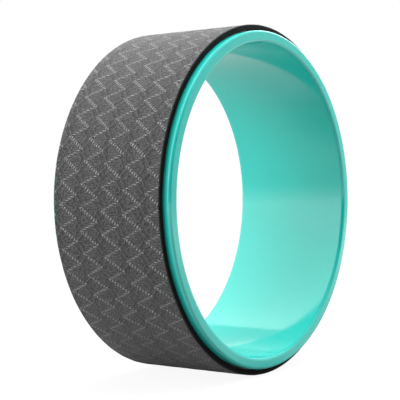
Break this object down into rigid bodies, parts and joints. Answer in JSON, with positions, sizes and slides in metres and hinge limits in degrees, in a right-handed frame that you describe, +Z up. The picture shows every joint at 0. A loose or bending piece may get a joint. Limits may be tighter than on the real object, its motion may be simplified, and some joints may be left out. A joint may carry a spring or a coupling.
{
  "type": "yoga wheel",
  "caption": "Rigid hoop with a wide bore, rounded rims and an embossed mat bonded round its tread, rolled under the back or feet in yoga.",
  "frame": {"origin": "centre of the wheel, on its axis, midway between the end faces of the two rims", "axes": "+Y along the wheel's axis, from the front rim to the rear rim; +Z up as the wheel stands on its tread; +X to the right seen from the front"},
  "size_m": [0.33, 0.13, 0.33],
  "materials": {
    "hoop_plastic": "glossy moulded ABS, teal",
    "tape": "double sided tissue tape, off white",
    "foam": "closed cell TPE foam, black, cut edge",
    "mat": "TPE skin, grey, embossed with rows of zigzags",
    "cement": "cured rubber cement, dark, satin"
  },
  "bodies": {
    "root": {"hoop": "hoop_plastic", "drum_half_left": "hoop_plastic", "drum_half_right": "hoop_plastic", "tape_front": "tape", "tape_rear": "tape", "mat_foam": "foam", "mat_face": "mat", "seam_bead": "cement"}
  },
  "joints": []
}
